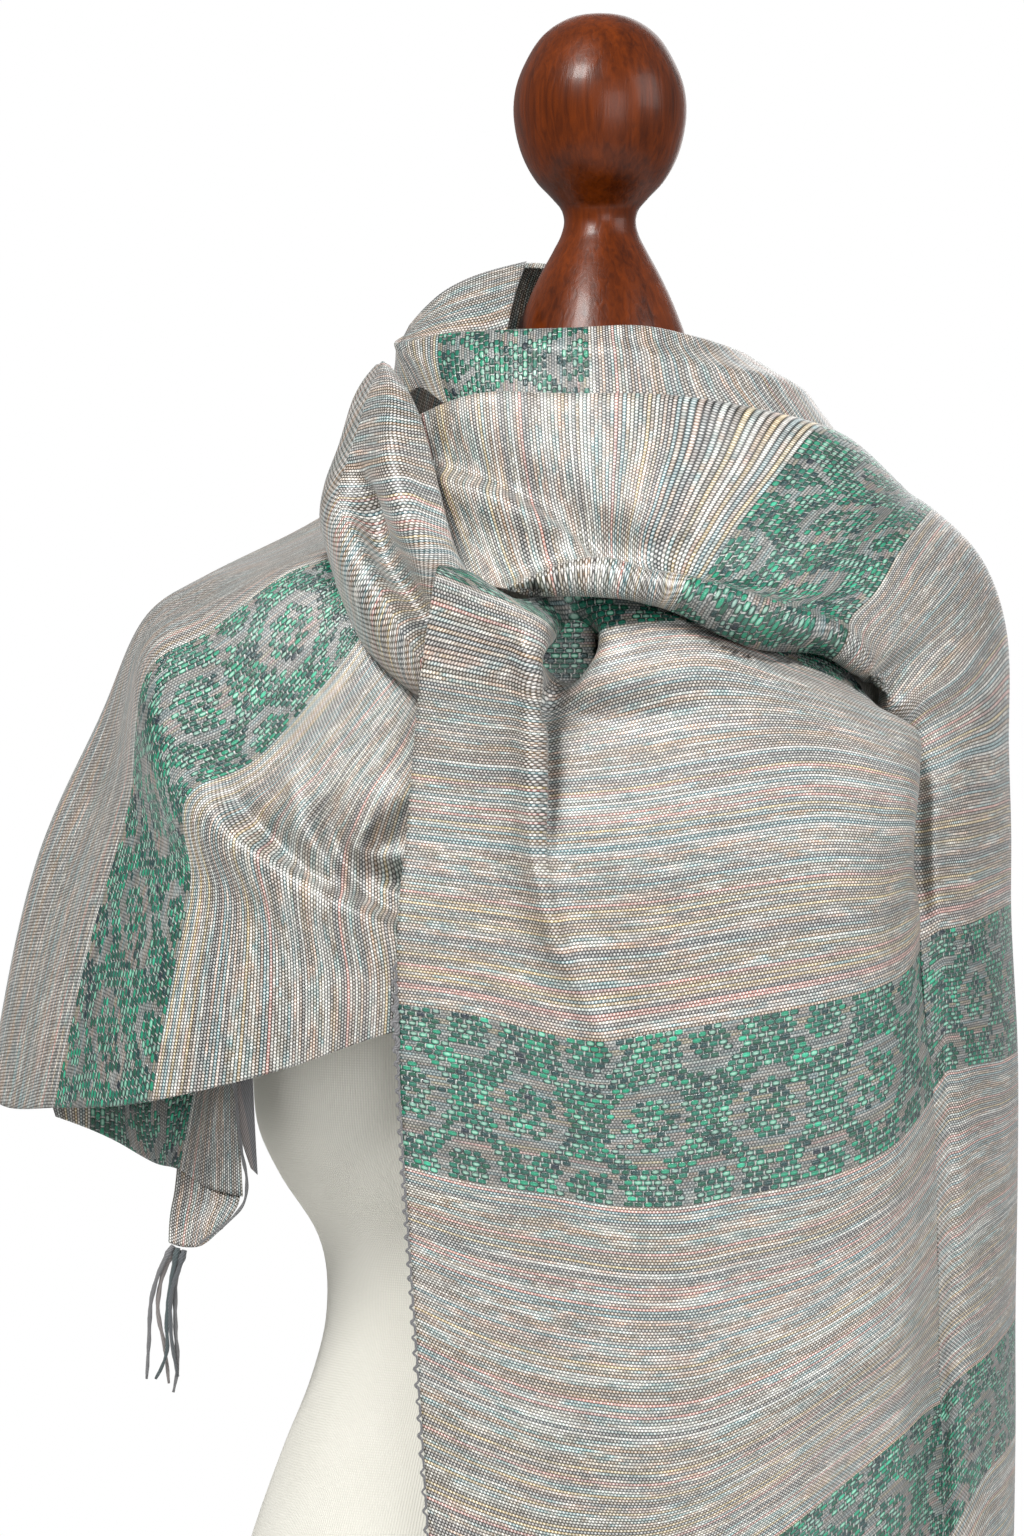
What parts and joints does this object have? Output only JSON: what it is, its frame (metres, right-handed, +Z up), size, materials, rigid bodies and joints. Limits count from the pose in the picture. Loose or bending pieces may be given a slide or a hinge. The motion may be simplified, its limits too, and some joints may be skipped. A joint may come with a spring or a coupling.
{
  "type": "silk scarf on dress form",
  "caption": "Long striped silk scarf with woven pattern bands and fringed ends, wound over the shoulders of a limbless dress form on a counter stand.",
  "frame": {"origin": "on the floor, at the middle of the stand base's underside", "axes": "+X to the viewer's right across the shoulders, +Y from the chest to the back, +Z up along the pole"},
  "size_m": [0.4647, 0.3043, 1.0432],
  "materials": {
    "silk_stripe": "silk, fine weft stripes, green brocade bands",
    "silk_drape": "silk, fine weft stripes, green brocade bands",
    "silk_front": "silk, fine weft stripes, green brocade bands",
    "silk_loop": "silk, fine weft stripes",
    "silk_collar": "silk, fine weft stripes, green brocade band",
    "silk_flap": "silk, fine weft stripes",
    "silk_tail": "silk, fine weft stripes, green brocade band",
    "fringe_grey": "twisted silk yarn",
    "jersey_cream": "matt cotton jersey, fine rib",
    "wood_dark": "turned hardwood, red-brown stain, gloss lacquer",
    "wood_pole": "turned hardwood, red-brown stain, satin lacquer",
    "wood_base": "turned hardwood, red-brown stain, satin lacquer"
  },
  "bodies": {
    "root": {"shoulder_wrap": "silk_stripe", "right_drape": "silk_drape", "front_panel": "silk_front", "knot_loop": "silk_loop", "collar": "silk_collar", "collar_flap": "silk_flap", "tail": "silk_tail", "front_fringe": "fringe_grey", "side_fringe": "fringe_grey", "tail_fringe": "fringe_grey", "form_torso": "jersey_cream", "neck_finial": "wood_dark", "stand_pole": "wood_pole", "stand_base": "wood_base"}
  },
  "joints": []
}
